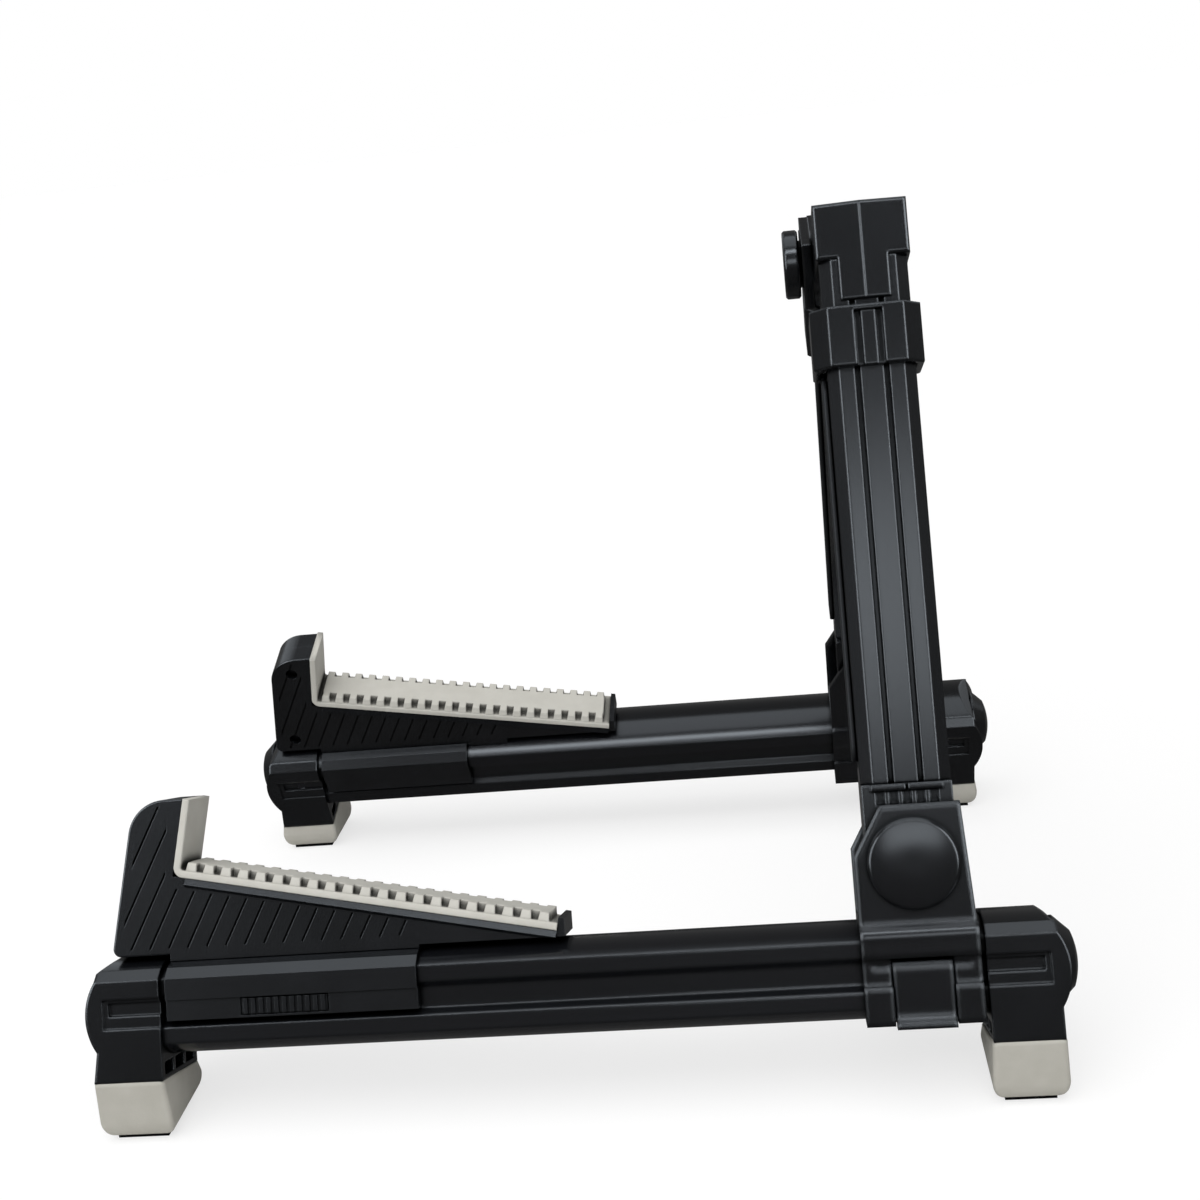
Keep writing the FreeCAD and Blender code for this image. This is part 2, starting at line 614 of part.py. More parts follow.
def make_cradle_halves():
    """Slider and cradle moulding as an outer and an inner half, split in the middle."""
    body = prism_y(cradle_outline(), -CRADLE_HALF_WIDTH, CRADLE_HALF_WIDTH)
    body = body.makeFillet(CRADLE_EDGE, [side for side in body.Edges if on_cradle_rim(side)])
    sleeve = prism_x(shell_outline(SLIDER_WALL, SLIDER_SKIRT), SLIDER_FRONT, SLIDER_REAR)
    whole = joined([body, make_flange(), sleeve]).cut(rail_bar(SLIDE_CLEARANCE))
    screw_holes = []
    for x, z in cradle_screw_places():
        screw_holes.append(cradle_screw(x, z))
        head_y = CRADLE_HALF_WIDTH - CRADLE_SCREW_SINK
        screw_holes.append(rod_y(head_y, CRADLE_HALF_WIDTH + FLANGE_PROUD, x, z, CRADLE_SCREW_HEAD))
    whole = whole.cut(Part.makeCompound(hatch_cuts() + screw_holes + slider_trims()))
    span = RAIL_REAR - RAIL_FRONT
    outer = whole.common(box(-2 * span, span, -span, 0, -span, span))
    inner = whole.common(box(-2 * span, span, 0, span, -span, span))
    return outer, inner


def make_pad():
    """Grey rubber pad: lip, base strip, a raised middle band and a row of teeth along each edge."""
    section = [pad_point(0, 0), pad_point(0, PAD_LIP), pad_point(-PAD_THICK, PAD_LIP),
               pad_point(-PAD_THICK, -PAD_THICK), pad_point(PAD_LENGTH, -PAD_THICK), pad_point(PAD_LENGTH, 0)]
    half = PAD_HALF_WIDTH
    pieces = [prism_y(section, -half, half)]
    band_start = TOOTH_FIRST - 0.5 * TOOTH_TOP
    band_end = TOOTH_FIRST + (PAD_TEETH - 1) * TOOTH_PITCH + 0.5 * TOOTH_TOP
    band = [pad_point(band_start, 0), pad_point(band_end, 0),
            pad_point(band_end, TOOTH_HEIGHT), pad_point(band_start, TOOTH_HEIGHT)]
    pieces.append(prism_y(band, TOOTH_DEPTH - half, half - TOOTH_DEPTH))
    for index in range(PAD_TEETH):
        middle = TOOTH_FIRST + index * TOOTH_PITCH
        tooth = [pad_point(middle - 0.5 * TOOTH_BASE, 0), pad_point(middle + 0.5 * TOOTH_BASE, 0),
                 pad_point(middle + 0.5 * TOOTH_TOP, TOOTH_HEIGHT),
                 pad_point(middle - 0.5 * TOOTH_TOP, TOOTH_HEIGHT)]
        pieces.append(prism_y(tooth, PAD_LEDGE - half, half - PAD_LEDGE))
    return joined(pieces)


def make_grip():
    """Ribbed thumb grip let into the slider's outer side."""
    face = SKIRT_STEP - SLIDER_SIDE
    back = face + GRIP_SINK
    base = box(GRIP_FRONT, GRIP_FRONT + GRIP_LENGTH, back - GRIP_BASE, back, GRIP_BOTTOM, GRIP_TOP)
    pitch = GRIP_LENGTH / GRIP_RIBS
    ribs = []
    for index in range(GRIP_RIBS):
        x0 = GRIP_FRONT + index * pitch + 0.5 * (pitch - GRIP_RIB_WIDTH)
        ribs.append(box(x0, x0 + GRIP_RIB_WIDTH, face - GRIP_PROUD, back - GRIP_BASE, GRIP_BOTTOM, GRIP_TOP))
    return joined([base] + ribs)


def plate_outline():
    """Side plate of the fold bracket in (x, z): tapered rear edge and a cut front corner."""
    half = BRACKET_HALF_LENGTH
    top = PIVOT_UP + PLATE_TOP
    return [(-half, FACET_START), (half, FACET_START), (half - PLATE_TAPER, top),
            (-half + PLATE_CHAMFER_X, top), (-half, top - PLATE_CHAMFER_Z)]


def make_bracket():
    """Saddle round the rail with two plates that hold the upright's foot."""
    half = BRACKET_HALF_LENGTH
    saddle = prism_x(saddle_outline(), -half, half)
    outer_plate = prism_y(plate_outline(), -PLATE_OUTER, -PLATE_INNER)
    inner_plate = prism_y(plate_outline(), PLATE_INNER, PLATE_OUTER)
    side = RAIL_HALF_WIDTH + BRACKET_WALL
    latch_bay = box(LATCH_FRONT - LATCH_GAP, LATCH_REAR + LATCH_GAP, -side - LATCH_LIP,
                    -RAIL_HALF_WIDTH + GROOVE_DEPTH, BRACKET_BOTTOM, LATCH_PIN_Z + LATCH_ROOM)
    cuts = [rail_bar(0), latch_bay]
    for sign in (-1, 1):
        y = sorted((sign * side, sign * (side - JAW_STEP)))
        cuts.append(box(-half, half, *y, -GROOVE_FLOOR_HALF, GROOVE_HALF))
    cuts.append(latch_pin())
    cuts.append(rod_y(-PLATE_OUTER, PLATE_OUTER, 0, PIVOT_UP, PIVOT_RADIUS))
    return joined([saddle, outer_plate, inner_plate]).cut(Part.makeCompound(cuts))


def latch_pin():
    return rod_x(LATCH_FRONT - LATCH_GAP - LATCH_PIN_REACH, LATCH_REAR + LATCH_GAP + LATCH_PIN_REACH,
                 LATCH_PIN_Y, LATCH_PIN_Z, LATCH_PIN_RADIUS)


def make_latch():
    """Lever between the jaws: barrel on its pin, a plain face and a lip at the bottom to pull."""
    inner = -(RAIL_HALF_WIDTH + LATCH_STANDOFF)
    outer = inner - LATCH_THICK
    lip_top = LATCH_BOTTOM + 2 * LATCH_LIP
    face = [(inner, LATCH_PIN_Z), (inner, LATCH_BOTTOM), (outer - LATCH_LIP, LATCH_BOTTOM),
            (outer - LATCH_LIP, LATCH_BOTTOM + 0.5 * LATCH_LIP), (outer, lip_top), (outer, LATCH_PIN_Z)]
    barrel = rod_x(LATCH_FRONT, LATCH_REAR, LATCH_PIN_Y, LATCH_PIN_Z, LATCH_BARREL)
    lever = joined([prism_x(face, LATCH_FRONT, LATCH_REAR), barrel])
    bore = rod_x(LATCH_FRONT, LATCH_REAR, LATCH_PIN_Y, LATCH_PIN_Z, LATCH_PIN_RADIUS + PIN_CLEARANCE)
    return lever.cut(bore)


def make_pivot_pin():
    return rod_y(-PLATE_OUTER, PLATE_OUTER + PIVOT_NUT_THICK, 0, PIVOT_UP, PIVOT_RADIUS)


def make_disc():
    """Round cap over the pivot: a slightly domed face with a flat middle and a chamfered rim."""
    back = -PLATE_OUTER
    face = back - DISC_THICK
    rim = face + DISC_DOME
    dome_arc = (face, DISC_FLAT_RADIUS, face + 0.25 * DISC_DOME, 0.5 * (DISC_FACE_RADIUS + DISC_FLAT_RADIUS))
    profile = [(back, 0), (back, DISC_RADIUS), (rim + DISC_CHAMFER, DISC_RADIUS),
               (rim, DISC_FACE_RADIUS), dome_arc, (face, 0)]
    half_section = outline(profile, lambda y, radius: Vector(radius, y, PIVOT_UP))
    return half_section.revolve(Vector(0, 0, PIVOT_UP), Vector(0, 1, 0), 360)


def hexagon(radius, across, up):
    """Six corners of a nut or bolt head round a centre, as (across, up)."""
    angles = [math.radians(60 * index) for index in range(6)]
    return [(across + radius * math.cos(turn), up + radius * math.sin(turn)) for turn in angles]


def make_pivot_nut():
    corners = hexagon(PIVOT_NUT_RADIUS, 0, PIVOT_UP)
    nut = prism_y(corners, PLATE_OUTER, PLATE_OUTER + PIVOT_NUT_THICK)
    return nut.cut(make_pivot_pin())


def tube_outline(grow):
    """The upright's section in (x, y): a chamfered box, standing off the tube by grow."""
    half_x = TUBE_HALF_X + grow
    half_y = TUBE_HALF_Y + grow
    cut = TUBE_CHAMFER
    corners = [(half_x, half_y - cut), (half_x - cut, half_y),
               (-half_x + cut, half_y), (-half_x, half_y - cut)]
    return corners + [(-x, -y) for x, y in corners]


def make_tube():
    """Fluted hollow upright with two flutes on its outer and two on its inner face."""
    bar = prism_z(tube_outline(0), TUBE_BOTTOM, TUBE_TOP)
    cuts = [box(-TUBE_BORE_X, TUBE_BORE_X, -TUBE_BORE_Y, TUBE_BORE_Y, TUBE_BOTTOM, TUBE_TOP)]
    for x in (-FLUTE_CENTRE, FLUTE_CENTRE):
        x0 = x - 0.5 * FLUTE_WIDTH
        for y0 in (-TUBE_HALF_Y, TUBE_HALF_Y - FLUTE_DEPTH):
            cuts.append(box(x0, x0 + FLUTE_WIDTH, y0, y0 + FLUTE_DEPTH, TUBE_BOTTOM, TUBE_TOP))
    return bar.cut(Part.makeCompound(cuts))


def make_tube_foot():
    """Foot of the upright: rounded tongue with the pivot bore, ribs, a split ridge and a spigot."""
    half = TUBE_HALF_X
    tongue_items = [(-half, PIVOT_UP), (half, PIVOT_UP, 0, PIVOT_UP - half),
                    (half, TUBE_BOTTOM), (-half, TUBE_BOTTOM)]
    tongue = prism_y(tongue_items, -TUBE_HALF_Y, TUBE_HALF_Y)
    spigot = box(-TUBE_BORE_X, TUBE_BORE_X, -TUBE_BORE_Y, TUBE_BORE_Y,
                 TUBE_BOTTOM, TUBE_BOTTOM + FOOT_SPIGOT)
    pieces = [tongue, spigot]
    ridge_z = TUBE_BOTTOM - RIDGE_HEIGHT
    for sign in (-1, 1):
        y0 = min(sign * TUBE_HALF_Y, sign * (TUBE_HALF_Y + RIDGE_PROUD))
        for x0, x1 in ((-RIDGE_HALF, -0.5 * RIDGE_SEAM), (0.5 * RIDGE_SEAM, RIDGE_HALF)):
            pieces.append(box(x0, x1, y0, y0 + RIDGE_PROUD, ridge_z, TUBE_BOTTOM))
    foot = joined(pieces)
    pitch = (2 * RIDGE_HALF - FOOT_RIB_WIDTH) / (FOOT_RIBS - 1)
    bay = pitch - FOOT_RIB_WIDTH
    cuts = [rod_y(-TUBE_HALF_Y, TUBE_HALF_Y, 0, PIVOT_UP, PIVOT_RADIUS + PIN_CLEARANCE)]
    for index in range(FOOT_RIBS - 1):
        x0 = -RIDGE_HALF + FOOT_RIB_WIDTH + index * pitch
        cuts.append(box(x0, x0 + bay, -TUBE_HALF_Y, -TUBE_HALF_Y + FOOT_RIB_DEPTH,
                        ridge_z - FOOT_RIB_HEIGHT, ridge_z))
    return foot.cut(Part.makeCompound(cuts))


def make_strip():
    """Soft guard strip on the front face of the upright, where a guitar's back leans."""
    return box(-STRIP_FACE, -TUBE_HALF_X, -STRIP_HALF_WIDTH, STRIP_HALF_WIDTH,
               STRIP_BOTTOM, COLLAR_BOTTOM - STRIP_BELOW_COLLAR)


def make_collar():
    """Collar that slides on the upright: cut corners, two slots on its outer face, room for the strip."""
    half_x = TUBE_HALF_X + SLIDE_CLEARANCE + COLLAR_WALL
    front_x = STRIP_FACE + SLIDE_CLEARANCE + COLLAR_FRONT_WALL
    half_y = TUBE_HALF_Y + SLIDE_CLEARANCE + COLLAR_WALL
    cut = COLLAR_CHAMFER
    inner = [(half_x, half_y - cut), (half_x - cut, half_y),
             (-front_x + cut, half_y), (-front_x, half_y - cut)]
    outer = [(x, -y) for x, y in reversed(inner)]
    ring = prism_z(inner + outer, COLLAR_BOTTOM, COLLAR_TOP)
    edges = [edge for edge in ring.Edges if at(edge.CenterOfMass.z, COLLAR_BOTTOM)]
    ring = ring.makeChamfer(COLLAR_EDGE, edges)
    cuts = [prism_z(tube_outline(SLIDE_CLEARANCE), COLLAR_BOTTOM, COLLAR_TOP)]
    half_strip = STRIP_HALF_WIDTH + SLIDE_CLEARANCE
    cuts.append(box(-STRIP_FACE - SLIDE_CLEARANCE, 0, -half_strip, half_strip, COLLAR_BOTTOM, COLLAR_TOP))
    for sign in (-1, 1):
        x0 = min(sign * COLLAR_SLOT_INNER, sign * (COLLAR_SLOT_INNER + COLLAR_SLOT_WIDTH))
        cuts.append(box(x0, x0 + COLLAR_SLOT_WIDTH, -half_y, -half_y + COLLAR_SLOT_DEPTH,
                        COLLAR_BOTTOM, COLLAR_TOP - COLLAR_BROW))
    cuts.append(box(-COLLAR_SLOT_INNER, COLLAR_SLOT_INNER, -half_y, -half_y + COLLAR_RIB_SINK,
                    COLLAR_BOTTOM, COLLAR_TOP - COLLAR_BROW))
    return ring.cut(Part.makeCompound(cuts))


def rounded_rim(body, radius, top):
    """Rounds the edges round a head's outer face up to top, but not the seam between its halves."""
    rim = []
    for side in body.Edges:
        corners = [corner.Point for corner in side.Vertexes]
        outer = max(corner.y for corner in corners) < -HEAD_HALF_Y + HEAD_ROOF + TINY
        seam = all(at(corner.x, 0) for corner in corners)
        if outer and not seam and side.CenterOfMass.z < top + TINY:
            rim.append(side)
    return body.makeFillet(radius, rim)


def make_head_half(sign, knuckles, top):
    """Front (sign -1) or rear (sign +1) half of a head up to top, with its hinge knuckles as (x0, x1)."""
    outer = -HEAD_HALF_Y
    edge = outer + HEAD_ROOF
    bar = [(0, outer), (sign * HEAD_HALF_X, edge), (sign * HEAD_HALF_X, HEAD_HALF_Y), (0, HEAD_HALF_Y)]
    stem = [(0, outer), (sign * STEM_HALF_X, outer + HEAD_ROOF * STEM_HALF_X / HEAD_HALF_X),
            (sign * STEM_HALF_X, -TUBE_HALF_Y), (0, -TUBE_HALF_Y)]
    stem_top = 0.5 * (TUBE_TOP + top)
    spigot_x = sorted((0, sign * TUBE_BORE_X))
    pieces = [rounded_rim(prism_z(bar, TUBE_TOP, top), HEAD_EDGE, top),
              rounded_rim(prism_z(stem, TUBE_TOP - STEM_LENGTH, stem_top), STEM_EDGE, TUBE_TOP),
              box(*spigot_x, -TUBE_BORE_Y, TUBE_BORE_Y, TUBE_TOP - HEAD_SPIGOT, TUBE_TOP)]
    for x0, x1 in knuckles:
        pieces.append(rod_x(x0, x1, HINGE_INSET, HINGE_UP, KNUCKLE_RADIUS))
        pieces.append(box(x0, x1, 0, HINGE_INSET, TUBE_TOP, top))
    return joined(pieces)


def make_cheek():
    """Square cheek at the front of the right head's knuckle, which the knob clamps on."""
    return box(-EAR_FRONT, -HEAD_HALF_X - KNUCKLE_GAP, HEAD_HALF_Y, HINGE_INSET + CHEEK_BEYOND,
               HINGE_UP - CHEEK_HALF_HEIGHT, HINGE_UP + CHEEK_HALF_HEIGHT)


def head_halves(side):
    """Both halves of one head: the left head has the middle knuckle, the right head the two outer ones."""
    outer_start = KNUCKLE_HALF + KNUCKLE_GAP
    if side == "left":
        front = make_head_half(-1, [(-KNUCKLE_HALF, 0)], HEAD_TOP)
        rear = make_head_half(1, [(0, KNUCKLE_HALF)], HEAD_TOP)
        bore = BOLT_RADIUS
    else:
        top = HEAD_TOP - RIGHT_HEAD_DROP
        front = joined([make_head_half(-1, [(-EAR_FRONT, -outer_start)], top), make_cheek()])
        rear = make_head_half(1, [(outer_start, EAR_REAR)], top)
        bore = BOLT_RADIUS + PIN_CLEARANCE
    hole = rod_x(-EAR_FRONT, HEAD_HALF_X, HINGE_INSET, HINGE_UP, bore)
    return front.cut(hole), rear.cut(hole)


def make_bolt():
    """Hinge bolt: hexagon head at the rear, plain shank through the knuckles and into the knob."""
    corners = hexagon(BOLT_HEAD_RADIUS, HINGE_INSET, HINGE_UP)
    head = prism_x(corners, EAR_REAR, EAR_REAR + BOLT_HEAD_THICK)
    shank_front = -EAR_FRONT - WASHER_THICK - KNOB_THICK + KNOB_SKIN + KNUCKLE_GAP
    return joined([head, rod_x(shank_front, EAR_REAR, HINGE_INSET, HINGE_UP, BOLT_RADIUS)])


def make_washer():
    ring = rod_x(-EAR_FRONT - WASHER_THICK, -EAR_FRONT, HINGE_INSET, HINGE_UP, WASHER_RADIUS)
    return ring.cut(rod_x(-EAR_FRONT - WASHER_THICK, -EAR_FRONT, HINGE_INSET, HINGE_UP, BOLT_RADIUS))


def make_knob():
    """Round clamping knob on the front end of the hinge bolt."""
    back = -EAR_FRONT - WASHER_THICK
    front = back - KNOB_THICK
    rim = KNOB_RADIUS - KNOB_CHAMFER
    profile = [(back, 0), (back, rim), (back - KNOB_CHAMFER, KNOB_RADIUS),
               (front + KNOB_CHAMFER, KNOB_RADIUS), (front, rim), (front, 0)]
    half_section = outline(profile, lambda x, radius: Vector(x, HINGE_INSET, HINGE_UP + radius))
    knob = half_section.revolve(Vector(0, HINGE_INSET, HINGE_UP), Vector(1, 0, 0), 360)
    return knob.cut(rod_x(front + KNOB_SKIN, back, HINGE_INSET, HINGE_UP, BOLT_RADIUS + PIN_CLEARANCE))


def stand_leg(shape):
    """Left leg's shape from the leg frame into the part frame."""
    placed = shape.copy()
    placed.rotate(Vector(0, 0, 0), Vector(1, 0, 0), -LEAN)
    placed.translate(Vector(X_SHIFT, -RAIL_OUT, RAIL_ABOVE_FLOOR))
    return placed


def mirrored(shape):
    return shape.mirror(Vector(0, 0, 0), Vector(0, 1, 0))


def leg_nodes():
    """Every piece of one leg but its head, as part-frame shapes of the left leg."""
    front = (RAIL_FRONT - FRONT_POST_FLARE, CAP_REAR_OF_FRONT)
    rear = (CAP_FRONT_OF_REAR, RAIL_REAR)
    cradle_outer, cradle_inner = make_cradle_halves()
    local = {
        "rail": make_rail(),
        "front_cap": make_cap(RAIL_FRONT, CAP_REAR_OF_FRONT, FRONT_POST_FLARE),
        "rear_cap": make_cap(RAIL_REAR, CAP_FRONT_OF_REAR, 0),
        "front_plug": make_plug(RAIL_FRONT, -1),
        "rear_plug": make_plug(RAIL_REAR, 1),
        "cap_screws": Part.makeCompound([cap_screw(x) for x in cap_screw_places()]),
        "cradle_outer_half": cradle_outer,
        "cradle_inner_half": cradle_inner,
        "cradle_pad": make_pad(),
        "cradle_screws": Part.makeCompound([cradle_screw(x, z) for x, z in cradle_screw_places()]),
        "thumb_grip": make_grip(),
        "fold_bracket": make_bracket(),
        "latch_lever": make_latch(),
        "latch_pin": latch_pin(),
        "pivot_pin": make_pivot_pin(),
        "pivot_disc": make_disc(),
        "pivot_nut": make_pivot_nut(),
        "upright_tube": make_tube(),
        "upright_foot": make_tube_foot(),
        "guard_strip": make_strip(),
        "collar": make_collar(),
    }
    nodes = {name: stand_leg(shape) for name, shape in local.items()}
    nodes["front_shoe"] = make_shoe(*front)
    nodes["rear_shoe"] = make_shoe(*rear)
    nodes["floor_pads"] = Part.makeCompound([make_floor_pad(*front), make_floor_pad(*rear)])
    return nodes


def main():
    nodes = {}
    for name, shape in leg_nodes().items():
        nodes["left_" + name] = shape
        nodes["right_" + name] = mirrored(shape)
    for side in ("left", "right"):
        for name, shape in zip(("head_front_half", "head_rear_half"), head_halves(side)):
            placed = stand_leg(shape)
            nodes[side + "_" + name] = placed if side == "left" else mirrored(placed)
    nodes["hinge_bolt"] = stand_leg(make_bolt())
    nodes["hinge_washer"] = stand_leg(make_washer())
    nodes["hinge_knob"] = stand_leg(make_knob())
    os.makedirs("parts", exist_ok=True)
    for name, shape in nodes.items():
        shape.exportStep("parts/" + name + ".step")
        print(name, len(shape.Solids), "solids", round(shape.Volume, 1), "mm3", shape.isValid())


main()
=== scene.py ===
"""Folding guitar stand: finishes for the CAD frame, soft rubber pieces, studio and camera."""

import json
import logging
import math
from dataclasses import dataclass, field
from enum import Enum
from typing import Callable, Dict, Sequence, Tuple

import bpy
import numpy as np
from mathutils import Matrix, Vector


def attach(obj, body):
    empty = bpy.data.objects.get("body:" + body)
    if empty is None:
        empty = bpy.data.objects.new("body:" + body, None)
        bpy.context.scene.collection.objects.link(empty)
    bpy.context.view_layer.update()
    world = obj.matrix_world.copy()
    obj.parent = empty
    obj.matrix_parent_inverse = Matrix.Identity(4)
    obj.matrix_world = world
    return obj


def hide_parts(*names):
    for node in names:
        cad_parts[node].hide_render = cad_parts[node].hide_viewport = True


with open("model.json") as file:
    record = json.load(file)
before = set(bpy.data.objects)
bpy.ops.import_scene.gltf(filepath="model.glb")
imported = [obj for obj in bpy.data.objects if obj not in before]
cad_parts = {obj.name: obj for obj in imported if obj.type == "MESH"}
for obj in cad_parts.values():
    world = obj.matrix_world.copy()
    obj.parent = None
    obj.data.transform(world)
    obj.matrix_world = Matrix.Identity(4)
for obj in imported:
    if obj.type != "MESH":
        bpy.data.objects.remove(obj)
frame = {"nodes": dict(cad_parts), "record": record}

LOG = logging.getLogger("guitar_stand")
MM = 0.001
QUARTER_TURN = 0.5 * math.pi
WHITE = (1.0, 1.0, 1.0, 1.0)
Colour = Tuple[float, float, float]


class Side(Enum):
    """The two legs; the value mirrors the left leg's Y."""

    LEFT = 1.0
    RIGHT = -1.0

    @property
    def prefix(self) -> str:
        """Start of the node and body names of this leg."""
        return self.name.lower() + "_"


class End(Enum):
    """The two ends of a rail, as the (start, end) of their cap along the leg's x in mm."""

    FRONT = (-236.2, -215.8)
    REAR = (17.4, 36.6)


class Grain(Enum):
    """Direction in which a finish is drawn out: scale of Object coordinates along X, Y and Z."""

    EVEN = (1.0, 1.0, 1.0)
    ALONG_RAIL = (0.02, 1.0, 1.0)
    ALONG_UPRIGHT = (1.0, 1.0, 0.03)


@dataclass(frozen=True)
class Finish:
    """A procedural finish made of a mottled base colour, uneven roughness and a fine bump.

    Lengths are in metres and noise scales per metre. A finish with an edge radius shades sharp edges as
    rounded ones, and each has painted shade, darker colour and less sheen, in grooves and seams about as
    narrow as its occlusion distance.
    """

    name: str
    dark: Colour
    light: Colour
    roughness: Tuple[float, float]
    metallic: float = 0.0
    specular: float = 0.5
    mottle_scale: float = 60.0
    bump_scale: float = 2600.0
    bump: float = 0.1
    grain: Grain = Grain.EVEN
    edge_radius: float = 0.0
    # Painted shade in grooves: occlusion distance, share of colour and sheen left at the deepest, occlusion
    # range of the fade, samples.
    crevice: float = 0.0025
    crevice_floor: float = 0.0
    crevice_range: Tuple[float, float] = (0.35, 0.8)
    crevice_samples: int = 8
    edge_samples: int = 12
    mottle_detail: float = 4.0
    mottle_stops: Tuple[float, float] = (0.35, 0.68)
    bump_detail: float = 2.0
    bump_depth: float = 0.0002

    def build(self) -> bpy.types.Material:
        """Makes the material.

        Returns:
            A node material that reads Object coordinates only.
        """
        material = bpy.data.materials.new(self.name)
        material.use_nodes = True
        tree = material.node_tree
        shader = tree.nodes["Principled BSDF"]
        shader.inputs["Metallic"].default_value = self.metallic
        coords = tree.nodes.new("ShaderNodeTexCoord")
        stretch = tree.nodes.new("ShaderNodeMapping")
        stretch.inputs["Scale"].default_value = self.grain.value
        tree.links.new(coords.outputs["Object"], stretch.inputs["Vector"])
        mottle = self._noise(tree, stretch, self.mottle_scale, self.mottle_detail)
        fine = self._noise(tree, stretch, self.bump_scale, self.bump_detail)
        colours = tree.nodes.new("ShaderNodeValToRGB")
        ends = zip(colours.color_ramp.elements, self.mottle_stops, (self.dark, self.light))
        for element, position, colour in ends:
            element.position = position
            element.color = (*colour, 1.0)
        tree.links.new(mottle.outputs["Fac"], colours.inputs["Fac"])
        # Painted shade: ambient occlusion darkens the colour and the sheen in grooves and seams.
        self._crevices(tree, shader, colours)
        gloss = tree.nodes.new("ShaderNodeMapRange")
        gloss.inputs["To Min"].default_value = self.roughness[0]
        gloss.inputs["To Max"].default_value = self.roughness[1]
        tree.links.new(fine.outputs["Fac"], gloss.inputs["Value"])
        tree.links.new(gloss.outputs["Result"], shader.inputs["Roughness"])
        bump = tree.nodes.new("ShaderNodeBump")
        bump.inputs["Strength"].default_value = self.bump
        bump.inputs["Distance"].default_value = self.bump_depth
        tree.links.new(fine.outputs["Fac"], bump.inputs["Height"])
        if self.edge_radius > 0:
            edge = tree.nodes.new("ShaderNodeBevel")
            edge.samples = self.edge_samples
            edge.inputs["Radius"].default_value = self.edge_radius
            tree.links.new(edge.outputs["Normal"], bump.inputs["Normal"])
        tree.links.new(bump.outputs["Normal"], shader.inputs["Normal"])
        return material

    def _crevices(self, tree: bpy.types.NodeTree, shader: bpy.types.Node, colours: bpy.types.Node) -> None:
        """Paints shade into narrow grooves and seams: colour and sheen go darker where the ambient occlusion
        is low.

        Args:
            tree: Node tree to add to.
            shader: Principled shader of the finish.
            colours: Node that gives the base colour.
        """
        open_sky = tree.nodes.new("ShaderNodeAmbientOcclusion")
        open_sky.samples = self.crevice_samples
        open_sky.inputs["Distance"].default_value = self.crevice
        share = tree.nodes.new("ShaderNodeMapRange")
        share.inputs["From Min"].default_value = self.crevice_range[0]
        share.inputs["From Max"].default_value = self.crevice_range[1]
        share.inputs["To Min"].default_value = self.crevice_floor
        tree.links.new(open_sky.outputs["AO"], share.inputs["Value"])
        sheen = tree.nodes.new("ShaderNodeMath")
        sheen.operation = "MULTIPLY"
        sheen.inputs[1].default_value = self.specular
        tree.links.new(share.outputs["Result"], sheen.inputs[0])
        tree.links.new(sheen.outputs["Value"], shader.inputs["Specular IOR Level"])
        shade = tree.nodes.new("ShaderNodeVectorMath")
        shade.operation = "SCALE"
        tree.links.new(colours.outputs["Color"], shade.inputs["Vector"])
        tree.links.new(share.outputs["Result"], shade.inputs["Scale"])
        tree.links.new(shade.outputs["Vector"], shader.inputs["Base Color"])

    @staticmethod
    def _noise(tree: bpy.types.NodeTree, source: bpy.types.Node, scale: float,
               detail: float) -> bpy.types.Node:
        """Adds a noise texture that reads source.

        Args:
            tree: Node tree to add to.
            source: Mapping node that gives the coordinates.
            scale: Noise scale per metre.
            detail: Octaves of the noise.

        Returns:
            The noise node.
        """
        noise = tree.nodes.new("ShaderNodeTexNoise")
        noise.inputs["Scale"].default_value = scale
        noise.inputs["Detail"].default_value = detail
        tree.links.new(source.outputs["Vector"], noise.inputs["Vector"])
        return noise


RAIL_BLACK = Finish("rail_anodised", (0.0032, 0.0036, 0.0045), (0.0052, 0.0057, 0.007), (0.16, 0.22),
                    grain=Grain.ALONG_RAIL, bump=0.012, edge_radius=0.0012)
UPRIGHT_BLACK = Finish("upright_anodised", (0.004, 0.0045, 0.0056), (0.0066, 0.0073, 0.0088), (0.18, 0.25),
                       grain=Grain.ALONG_UPRIGHT, bump=0.012, edge_radius=0.0009)
MOULDED_BLACK = Finish("moulded_black", (0.0028, 0.0032, 0.004), (0.0048, 0.0053, 0.0064), (0.16, 0.22),
                       bump=0.012, edge_radius=0.0010)
SADDLE_BLACK = Finish("saddle_black", (0.0028, 0.0032, 0.004), (0.0048, 0.0053, 0.0064), (0.16, 0.22),
                      bump=0.012, edge_radius=0.0024)
HATCHED_BLACK = Finish("hatched_black", (0.0032, 0.0036, 0.0045), (0.0056, 0.0062, 0.0075), (0.20, 0.28),
                       bump=0.012, edge_radius=0.00015)
GREY_RUBBER = Finish("grey_rubber", (0.44, 0.425, 0.375), (0.475, 0.46, 0.41), (0.62, 0.78),
                     specular=0.3, mottle_scale=160.0, bump_scale=1500.0, bump=0.2, crevice_floor=0.7)
# Deep painted shade in the gaps between the pad's teeth.
PALE_RUBBER = Finish("pale_rubber", (0.53, 0.515, 0.465), (0.565, 0.55, 0.50), (0.60, 0.75),
                     specular=0.3, mottle_scale=160.0, bump_scale=1500.0, bump=0.18, crevice=0.0035,
                     crevice_floor=0.1, crevice_range=(0.45, 0.9))
BLACK_RUBBER = Finish("black_rubber", (0.005, 0.005, 0.006), (0.009, 0.009, 0.010), (0.55, 0.70),
                      specular=0.3, bump_scale=1800.0, bump=0.2)
DARK_STEEL = Finish("dark_steel", (0.02, 0.02, 0.023), (0.035, 0.035, 0.039), (0.30, 0.42),
                    metallic=0.8, bump=0.06, edge_radius=0.0003)

